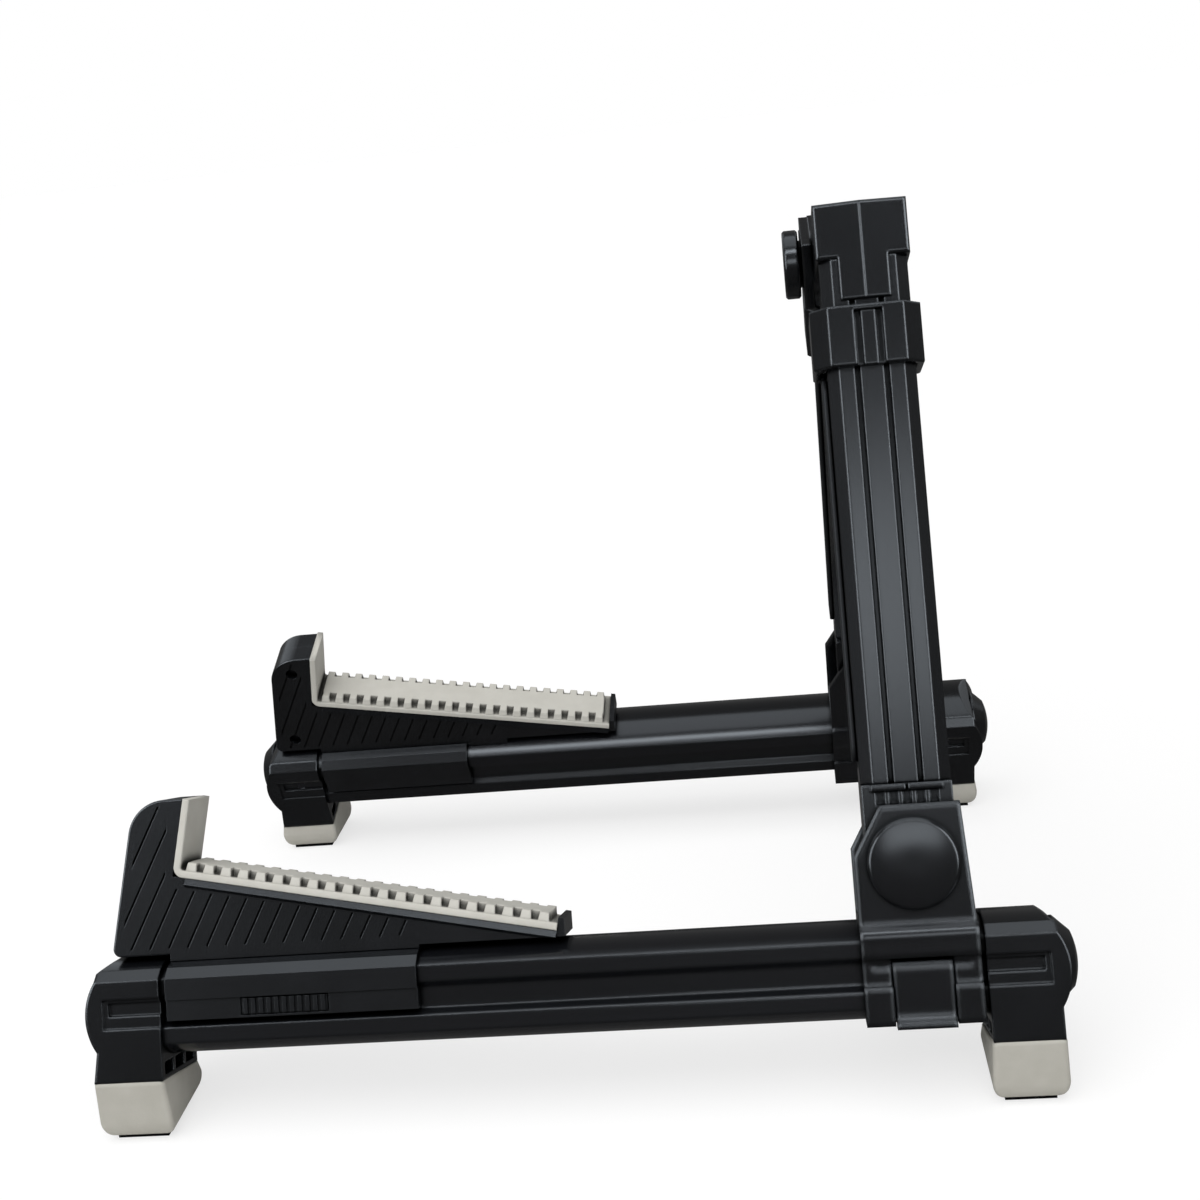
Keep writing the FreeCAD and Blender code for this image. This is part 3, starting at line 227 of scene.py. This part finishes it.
HATCHED_NODES = ("cradle_outer_half", "cradle_inner_half", "thumb_grip")
SADDLE_NODES = ("fold_bracket", "latch_lever")
SLOT_FINISHES: Dict[str, Finish] = {
    "black_plastic": MOULDED_BLACK,
    "grey_rubber": GREY_RUBBER,
    "light_rubber": PALE_RUBBER,
    "black_rubber": BLACK_RUBBER,
    "steel": DARK_STEEL,
}


@dataclass
class Palette:
    """Materials made once and shared."""

    made: Dict[str, bpy.types.Material] = field(default_factory=dict)

    def get(self, finish: Finish) -> bpy.types.Material:
        """Gives the material of a finish, making it on first use.

        Args:
            finish: Finish to make.

        Returns:
            Its material.
        """
        if finish.name not in self.made:
            self.made[finish.name] = finish.build()
        return self.made[finish.name]


@dataclass(frozen=True)
class LegFrame:
    """Leg coordinates: x along the rail, y inwards, z up the upright, in mm."""

    side: Side
    lean: float = math.radians(20.0)
    hinge_inset: float = 22.0
    hinge_up: float = 207.0
    rail_height: float = 33.0
    x_shift: float = 99.2

    def row(self, points: np.ndarray) -> np.ndarray:
        """Turns leg points in mm into row-frame points in metres.

        Args:
            points: Array whose last axis holds x, y and z.

        Returns:
            Array of the same shape in metres.
        """
        sin, cos = math.sin(self.lean), math.cos(self.lean)
        out = self.hinge_inset * cos + self.hinge_up * sin
        x, y, z = points[..., 0], points[..., 1], points[..., 2]
        across = (-out + y * cos + z * sin) * self.side.value
        up = self.rail_height - y * sin + z * cos
        return np.stack([x + self.x_shift, across, up], axis=-1) * MM


def surface(name: str, rings: np.ndarray) -> bpy.types.Object:
    """Closed skin over rings of points, with a fan at each end and its faces outwards.

    Args:
        name: Name of the object.
        rings: Array of ring, point and xyz, in metres in the row frame.

    Returns:
        The new object, linked to the scene.
    """
    count, around = rings.shape[:2]
    ends = np.stack([rings[0].mean(axis=0), rings[-1].mean(axis=0)])
    vertices = np.concatenate([rings.reshape(-1, 3), ends])
    ring, point = np.meshgrid(np.arange(count - 1), np.arange(around), indexing="ij")
    following = (point + 1) % around
    quads = np.stack([ring * around + point, ring * around + following,
                      (ring + 1) * around + following, (ring + 1) * around + point], axis=-1).reshape(-1, 4)
    index = np.arange(around)
    after = (index + 1) % around
    first = np.stack([np.full(around, count * around), after, index], axis=-1)
    base = (count - 1) * around
    last = np.stack([np.full(around, count * around + 1), base + index, base + after], axis=-1)
    mesh = bpy.data.meshes.new(name)
    mesh.from_pydata(vertices.tolist(), [], quads.tolist() + first.tolist() + last.tolist())
    mesh.polygons.foreach_set("use_smooth", np.ones(len(mesh.polygons), dtype=bool))
    mesh.update()
    turn_outwards(mesh)
    made = bpy.data.objects.new(name, mesh)
    bpy.context.scene.collection.objects.link(made)
    return made


def turn_outwards(mesh: bpy.types.Mesh) -> None:
    """Turns the faces of a closed mesh outwards if its volume is negative, as on a mirrored leg.

    Args:
        mesh: Closed mesh.
    """
    mesh.calc_loop_triangles()
    points = np.zeros(len(mesh.vertices) * 3)
    mesh.vertices.foreach_get("co", points)
    corners = np.zeros(len(mesh.loop_triangles) * 3, dtype=np.int32)
    mesh.loop_triangles.foreach_get("vertices", corners)
    a, b, c = points.reshape(-1, 3)[corners.reshape(-1, 3)].transpose(1, 0, 2)
    if float(np.einsum("ij,ij->i", a, np.cross(b, c)).sum()) < 0:
        mesh.flip_normals()


@dataclass(frozen=True)
class Band:
    """A flat band with rounded edges, as a ring of (across, through, top share), in mm."""

    half_width: float
    thickness: float
    edge: float
    across_steps: int = 72
    arc_steps: int = 4

    def ring(self) -> np.ndarray:
        """Points round the band's section.

        Returns:
            Array of point and (across, through, share of the extra height on the top side).
        """
        half, radius = 0.5 * self.thickness, self.edge
        flat = self.half_width - radius
        top = [(a, half, 1.0) for a in np.linspace(-flat, flat, self.across_steps)]
        angles = np.linspace(0, QUARTER_TURN, self.arc_steps + 1)[1:]
        upper = [(flat + radius * math.sin(t), half - radius + radius * math.cos(t), 1.0) for t in angles]
        lower = [(flat + radius * math.cos(t), -half + radius - radius * math.sin(t), 0.0)
                 for t in np.append(0, angles)]
        right = top + upper + lower
        left = [(-a, n, share) for a, n, share in reversed(upper + lower)]
        return np.array(right + left)


def sweep(path: np.ndarray, normals: np.ndarray, band: Band,
          extra: Callable[[np.ndarray, np.ndarray], np.ndarray], lengths: np.ndarray) -> np.ndarray:
    """Draws a band out along a path in the leg's x-z plane.

    Args:
        path: Middle of the band as (x, z) in mm.
        normals: Unit direction of the band's top side as (x, z).
        band: Section of the band.
        extra: Height to add on the top side, from the path's length and the place across, in mm.
        lengths: Length along the path of each of its points, in mm.

    Returns:
        Rings of leg-frame points in mm.
    """
    ring = band.ring()
    across = np.broadcast_to(ring[:, 0], (len(path), len(ring)))
    height = ring[:, 1] + ring[:, 2] * extra(lengths[:, None], across)
    x = path[:, None, 0] + normals[:, None, 0] * height
    z = path[:, None, 1] + normals[:, None, 1] * height
    return np.stack([x, across, z], axis=-1)


def no_extra(length: np.ndarray, across: np.ndarray) -> np.ndarray:
    """Plain top side.

    Args:
        length: Length along the path.
        across: Place across the band.

    Returns:
        Zeros of the shape of both.
    """
    return np.zeros(np.broadcast(length, across).shape)


def ramp(value: np.ndarray, start: float, end: float) -> np.ndarray:
    """Smooth step from 0 at start to 1 at end.

    Args:
        value: Where to read it.
        start: Value at which it leaves 0.
        end: Value at which it reaches 1.

    Returns:
        Array of steps.
    """
    t = np.clip((value - start) / (end - start), 0.0, 1.0)
    return t * t * (3.0 - 2.0 * t)


@dataclass(frozen=True)
class CradlePad:
    """Rubber pad of a cradle: a lip, a base strip, a raised middle and a row of teeth on each edge, in mm."""

    slope: float = math.radians(11.0)
    corner: Tuple[float, float] = (-209.3, 39.7)
    length: float = 111.5
    lip: float = 20.5
    thickness: float = 2.2
    half_width: float = 8.6
    bend: float = 0.8
    teeth: int = 21
    first: float = 3.0
    pitch: float = 5.22
    tooth: float = 2.4
    tooth_base: float = 3.4
    tooth_top: float = 2.5
    tooth_depth: float = 3.4
    tooth_back_blend: float = 0.4
    ledge: float = 0.7
    ledge_blend: float = 0.35
    relief_start: Tuple[float, float] = (0.6, 1.6)
    relief_end: Tuple[float, float] = (1.4, 2.2)
    length_on_lip: float = -1.0
    edge: float = 0.5
    base_steps: int = 520
    bend_steps: int = 14
    lip_steps: int = 40

    def rings(self) -> np.ndarray:
        """Rings of the whole pad from its tail to the top of its lip.

        Returns:
            Leg-frame points in mm.
        """
        along = np.array([math.cos(self.slope), -math.sin(self.slope)])
        up = np.array([math.sin(self.slope), math.cos(self.slope)])
        corner = np.array(self.corner)
        half = 0.5 * self.thickness
        centre = corner + (along + up) * self.bend
        reach = np.linspace(self.length, self.bend, self.base_steps)
        base = corner + reach[:, None] * along - half * up
        turn = np.linspace(0, QUARTER_TURN, self.bend_steps)[1:-1]
        radius = self.bend + half
        arc_normal = np.cos(turn)[:, None] * up + np.sin(turn)[:, None] * along
        arc = centre - radius * arc_normal
        rise = np.linspace(self.bend, self.lip, self.lip_steps)
        lip = corner + rise[:, None] * up - half * along
        path = np.concatenate([base, arc, lip])
        normals = np.concatenate([np.tile(up, (len(base), 1)), arc_normal, np.tile(along, (len(lip), 1))])
        lengths = np.concatenate([reach, np.full(len(arc), 0.5 * self.bend),
                                  np.full(len(lip), self.length_on_lip)])
        return sweep(path, normals, Band(self.half_width, self.thickness, self.edge), self._relief, lengths)

    def _relief(self, length: np.ndarray, across: np.ndarray) -> np.ndarray:
        """Height of the teeth and the raised middle over the strip.

        Args:
            length: Length from the pad's inner corner, negative on the lip.
            across: Place across the pad.

        Returns:
            Height in mm.
        """
        last = self.first + (self.teeth - 1) * self.pitch
        nearest = np.clip(np.round((length - self.first) / self.pitch), 0, self.teeth - 1)
        off = np.abs(length - self.first - nearest * self.pitch)
        teeth = 1.0 - ramp(off, 0.5 * self.tooth_top, 0.5 * self.tooth_base)
        place = np.abs(across)
        tooth_back = self.half_width - self.tooth_depth
        middle = 1.0 - ramp(place, tooth_back - self.tooth_back_blend, tooth_back)
        ledge = self.half_width - self.ledge
        on_top = 1.0 - ramp(place, ledge - self.ledge_blend, ledge)
        begun = ramp(length, *self.relief_start)
        ended = ramp(length - last, *self.relief_end)
        return self.tooth * begun * (1.0 - ended) * on_top * np.maximum(teeth, middle)


@dataclass(frozen=True)
class Shoe:
    """Rubber shoe under a cap: steep sides that flare slightly, then tuck in to a level sole, in mm."""

    half_width: float = 14.05
    post: float = 19.3
    proud: float = 0.3
    corner: float = 1.4
    bulge: float = 0.5
    tuck: float = 2.6
    round_height: float = 5.5
    lip_round: float = 0.5
    sole: float = 1.4
    corner_steps: int = 7
    first_share: float = 0.03
    side_rings: int = 12
    round_rings: int = 10

    def rings(self, end: End, leg: LegFrame) -> np.ndarray:
        """Rings of the shoe from the post down to the sole.

        Args:
            end: End of the rail that it stands under.
            leg: Leg that it belongs to.

        Returns:
            Row-frame points in metres.
        """
        x0, x1 = end.value[0] - self.proud, end.value[1] + self.proud
        top = leg.row(self._loop(x0, x1))
        rings = [self._level(top, 0.0, -self.lip_round, 0.0)]
        low = self.sole + self.round_height
        shares = np.linspace(self.first_share, 1.0, self.side_rings)
        rings += [self._level(top, share, share * self.bulge, low) for share in shares]
        draw = self.tuck + self.bulge
        for angle in np.linspace(0, QUARTER_TURN, self.round_rings + 1)[1:]:
            height = self.sole + self.round_height * (1.0 - math.sin(angle))
            rings.append(self._level(top, 1.0, self.bulge - draw * (1.0 - math.cos(angle)), height))
        return np.array(rings)

    @staticmethod
    def _level(top: np.ndarray, share: float, swell: float, low: float) -> np.ndarray:
        """One ring of the shoe.

        Args:
            top: Ring under the post, in metres.
            share: Share of the way down, 0 at the post and 1 at the lower height.
            swell: Growth on every side in mm.
            low: Lower height in mm.

        Returns:
            Ring in metres.
        """
        lowest, highest = top.min(axis=0), top.max(axis=0)
        grow = np.array([swell, swell, 0.0]) * MM
        start, stop = lowest - grow, highest + grow
        ring = start + (top - lowest) / (highest - lowest) * (stop - start)
        ring[:, 2] = top[:, 2] + share * (low * MM - top[:, 2])
        return ring

    def _loop(self, x0: float, x1: float) -> np.ndarray:
        """Rounded rectangle in the plane under the post.

        Args:
            x0: Low end along the rail.
            x1: High end along the rail.

        Returns:
            Leg-frame points in mm.
        """
        radius = self.corner
        low, high, side = x0 + radius, x1 - radius, self.half_width - radius
        points = []
        for quarter, (x, y) in enumerate(((high, side), (low, side), (low, -side), (high, -side))):
            start = quarter * QUARTER_TURN
            for turn in np.linspace(start, start + QUARTER_TURN, self.corner_steps):
                points.append((x + radius * math.cos(turn), y + radius * math.sin(turn), -self.post))
        return np.array(points)


@dataclass(frozen=True)
class GuardStrip:
    """Soft strip on the front face of an upright, in mm."""

    face: float = -12.4
    thickness: float = 1.6
    half_width: float = 5.0
    edge: float = 0.6
    bottom: float = 58.0
    top: float = 165.8
    steps: int = 24

    def rings(self) -> np.ndarray:
        """Rings of the strip from its bottom to its top.

        Returns:
            Leg-frame points in mm.
        """
        heights = np.linspace(self.bottom, self.top, self.steps)
        path = np.stack([np.full(len(heights), self.face - 0.5 * self.thickness), heights], axis=-1)
        normals = np.tile(np.array([-1.0, 0.0]), (len(heights), 1))
        return sweep(path, normals, Band(self.half_width, self.thickness, self.edge), no_extra, heights)


@dataclass
class Leg:
    """The soft pieces of one leg."""

    side: Side
    palette: Palette
    pad: CradlePad = CradlePad()
    shoe: Shoe = Shoe()
    strip: GuardStrip = GuardStrip()

    def build(self) -> None:
        """Makes the leg's pieces in place of their CAD solids."""
        leg = LegFrame(self.side)
        self._add("rubber_pad", leg.row(self.pad.rings()), PALE_RUBBER,
                  "cradle_pad", "cradle_body")
        self._add("soft_strip", leg.row(self.strip.rings()), BLACK_RUBBER,
                  "guard_strip", "upright_body")
        for end in End:
            name = end.name.lower()
            self._add(name + "_rubber_shoe", self.shoe.rings(end, leg), GREY_RUBBER,
                      name + "_shoe", "rail_body")
        LOG.info("built the soft pieces of the %s leg", self.side.name.lower())

    def _add(self, name: str, rings: np.ndarray, finish: Finish, node: str, body: str) -> None:
        """Makes one piece and puts it in the frame.

        Args:
            name: Name without the leg's prefix.
            rings: Row-frame rings in metres.
            finish: Finish of the piece.
            node: CAD node that it stands for, without the prefix.
            body: Body that it rides on, without the prefix.
        """
        prefix = self.side.prefix
        made = surface(prefix + name, rings)
        made.data.materials.append(self.palette.get(finish))
        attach(made, prefix + body)
        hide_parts(prefix + node)


def finish_nodes(palette: Palette) -> None:
    """Gives every CAD node the finish of its slot.

    Args:
        palette: Materials to use.
    """
    slots = {entry["node"]: entry["material_slot"] for entry in frame["record"]["subparts"]}
    for name, node in frame["nodes"].items():
        slot = slots[name]
        if slot == "black_aluminium":
            finish = RAIL_BLACK if name.endswith("rail") else UPRIGHT_BLACK
        elif name.endswith(HATCHED_NODES):
            finish = HATCHED_BLACK
        elif name.endswith(SADDLE_NODES):
            finish = SADDLE_BLACK
        else:
            finish = SLOT_FINISHES[slot]
        node.data.materials.clear()
        node.data.materials.append(palette.get(finish))


class Lights(Enum):
    """What a light panel acts on, matt surfaces or reflections; the value is the panel's colour."""

    MATT = (1.0, 1.0, 1.0)
    SHEEN = (0.84, 0.92, 1.0)


@dataclass(frozen=True)
class Panel:
    """A light panel that faces the stand, placed by its direction from it.

    Azimuth is 0 on the camera's side and 90 behind the uprights; both angles are in degrees, lengths in
    metres. Left, right and far in the names are as the camera sees them.
    """

    name: str
    azimuth: float
    elevation: float
    size: Tuple[float, float]
    radiance: float
    lights: Lights = Lights.SHEEN
    distance: float = 1.2
    aim: Tuple[float, float, float] = (0.02, -0.06, 0.09)

    def build(self) -> None:
        """Makes the light."""
        turn, rise = math.radians(self.azimuth), math.radians(self.elevation)
        way = Vector((math.sin(turn) * math.cos(rise), -math.cos(turn) * math.cos(rise), math.sin(rise)))
        data = bpy.data.lights.new(self.name, "AREA")
        data.shape = "RECTANGLE"
        data.size, data.size_y = self.size
        data.color = self.lights.value
        data.energy = self.radiance * math.pi * self.size[0] * self.size[1]
        lamp = bpy.data.objects.new(self.name, data)
        lamp.location = Vector(self.aim) + way * self.distance
        lamp.rotation_euler = (-way).to_track_quat("-Z", "Y").to_euler()
        lamp.visible_camera = False
        lamp.visible_diffuse = self.lights is Lights.MATT
        lamp.visible_glossy = self.lights is Lights.SHEEN
        bpy.context.scene.collection.objects.link(lamp)


@dataclass(frozen=True)
class Studio:
    """White floor, soft light and the photo's camera.

    The camera's place is in mm, its angles are in radians and the floor's reach is in metres.
    """

    panels: Sequence[Panel] = (
        Panel("front_fill", -8.0, 35.0, (1.5, 0.5), 0.7, Lights.MATT),
        Panel("upright_panel", 8.0, 24.5, (0.5, 0.26), 3.6),
        Panel("overhead_softbox", 180.0, 85.0, (1.6, 0.95), 1.5),
        Panel("top_softbox", 0.0, 57.5, (1.6, 0.18), 9.0),
        Panel("left_softbox", -58.0, 22.0, (0.75, 0.9), 7.0),
        Panel("right_softbox", 58.0, 22.0, (0.75, 0.9), 7.0),
        Panel("far_left_softbox", -135.0, 26.0, (0.9, 0.6), 0.8),
        Panel("far_right_softbox", 135.0, 26.0, (0.9, 0.6), 0.8),
    )
    sun_strength: float = 2.6
    sun_spread: float = math.radians(75.0)
    sun_tilt: Tuple[float, float] = (math.radians(22.0), math.radians(-10.0))
    floor_reach: float = 30.0
    floor_colour: Colour = (0.92, 0.92, 0.92)
    floor_roughness: float = 0.9
    floor_lift: float = 1.09
    floor_mix: float = 0.65
    floor_in_gloss: float = 0.10
    room_light: float = 0.16
    camera_place: Tuple[float, float, float] = (71.76, -510.43, 269.23)
    yaw: float = -0.1195
    pitch: float = 0.2832
    roll: float = -0.1119
    focal_px: float = 1653.9
    picture_px: int = 1200
    sensor_mm: float = 36.0
    clip_start: float = 0.01

    def build(self) -> None:
        """Makes the floor, the lights, the world and the camera."""
        self._floor()
        self._world()
        self._sun()
        for panel in self.panels:
            panel.build()
        self._camera()
        bpy.context.scene.view_settings.view_transform = "Standard"

    def _floor(self) -> None:
        """White floor that keeps a faint shadow."""
        mesh = bpy.data.meshes.new("floor")
        reach = self.floor_reach
        corners = [(-reach, -reach, 0), (reach, -reach, 0), (reach, reach, 0), (-reach, reach, 0)]
        mesh.from_pydata(corners, [], [(0, 1, 2, 3)])
        floor = bpy.data.objects.new("floor", mesh)
        bpy.context.scene.collection.objects.link(floor)
        material = bpy.data.materials.new("white_floor")
        material.use_nodes = True
        tree = material.node_tree
        shader = tree.nodes["Principled BSDF"]
        shader.inputs["Base Color"].default_value = (*self.floor_colour, 1.0)
        shader.inputs["Roughness"].default_value = self.floor_roughness
        shader.inputs["Specular IOR Level"].default_value = 0.0
        light_path = tree.nodes.new("ShaderNodeLightPath")
        share = tree.nodes.new("ShaderNodeMath")
        share.operation = "MULTIPLY"
        share.inputs[1].default_value = self.floor_mix
        tree.links.new(light_path.outputs["Is Camera Ray"], share.inputs[0])
        white = self._glow(tree, self.floor_lift)
        lifted = tree.nodes.new("ShaderNodeMixShader")
        tree.links.new(share.outputs["Value"], lifted.inputs["Fac"])
        tree.links.new(shader.outputs["BSDF"], lifted.inputs[1])
        tree.links.new(white.outputs["Emission"], lifted.inputs[2])
        mirrored = self._glow(tree, self.floor_in_gloss)
        choose = tree.nodes.new("ShaderNodeMixShader")
        tree.links.new(light_path.outputs["Is Glossy Ray"], choose.inputs["Fac"])
        tree.links.new(lifted.outputs["Shader"], choose.inputs[1])
        tree.links.new(mirrored.outputs["Emission"], choose.inputs[2])
        tree.links.new(choose.outputs["Shader"], tree.nodes["Material Output"].inputs["Surface"])
        mesh.materials.append(material)

    @staticmethod
    def _glow(tree: bpy.types.NodeTree, strength: float) -> bpy.types.Node:
        """Adds a white emission.

        Args:
            tree: Node tree to add to.
            strength: Strength of the emission.

        Returns:
            The emission node.
        """
        glow = tree.nodes.new("ShaderNodeEmission")
        glow.inputs["Color"].default_value = WHITE
        glow.inputs["Strength"].default_value = strength
        return glow

    def _world(self) -> None:
        """White surroundings: full white to the camera, softer as light."""
        world = bpy.data.worlds.new("studio")
        bpy.context.scene.world = world
        world.use_nodes = True
        tree = world.node_tree
        background = tree.nodes["Background"]
        background.inputs["Color"].default_value = WHITE
        light_path = tree.nodes.new("ShaderNodeLightPath")
        level = tree.nodes.new("ShaderNodeMapRange")
        level.inputs["To Min"].default_value = self.room_light
        level.inputs["To Max"].default_value = 1.0
        tree.links.new(light_path.outputs["Is Camera Ray"], level.inputs["Value"])
        tree.links.new(level.outputs["Result"], background.inputs["Strength"])

    def _sun(self) -> None:
        """Even soft light from above, the same over the whole floor."""
        data = bpy.data.lights.new("even_light", "SUN")
        data.energy = self.sun_strength
        data.angle = self.sun_spread
        lamp = bpy.data.objects.new("even_light", data)
        lamp.rotation_euler = (*self.sun_tilt, 0.0)
        lamp.visible_glossy = False
        bpy.context.scene.collection.objects.link(lamp)

    def _camera(self) -> None:
        """Camera fitted to the photo."""
        ahead, right, up = Vector((0, 1, 0)), Vector((1, 0, 0)), Vector((0, 0, 1))
        turned = math.cos(self.yaw) * ahead + math.sin(self.yaw) * right
        right = math.cos(self.yaw) * right - math.sin(self.yaw) * ahead
        ahead = math.cos(self.pitch) * turned - math.sin(self.pitch) * up
        up = math.cos(self.pitch) * up + math.sin(self.pitch) * turned
        rolled_right = math.cos(self.roll) * right + math.sin(self.roll) * up
        rolled_up = math.cos(self.roll) * up - math.sin(self.roll) * right
        data = bpy.data.cameras.new("photo_camera")
        data.sensor_width = self.sensor_mm
        data.lens = self.sensor_mm * self.focal_px / self.picture_px
        data.clip_start = self.clip_start
        camera = bpy.data.objects.new("photo_camera", data)
        turn = Matrix((rolled_right, rolled_up, -ahead)).transposed().to_4x4()
        camera.matrix_world = Matrix.Translation(Vector(self.camera_place) * MM) @ turn
        scene = bpy.context.scene
        scene.collection.objects.link(camera)
        scene.camera = camera


def main() -> None:
    """Builds the scene on the CAD frame."""
    logging.basicConfig(level=logging.INFO)
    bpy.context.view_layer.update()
    palette = Palette()
    finish_nodes(palette)
    for side in Side:
        Leg(side, palette).build()
    Studio().build()


if __name__ == "__main__":
    main()
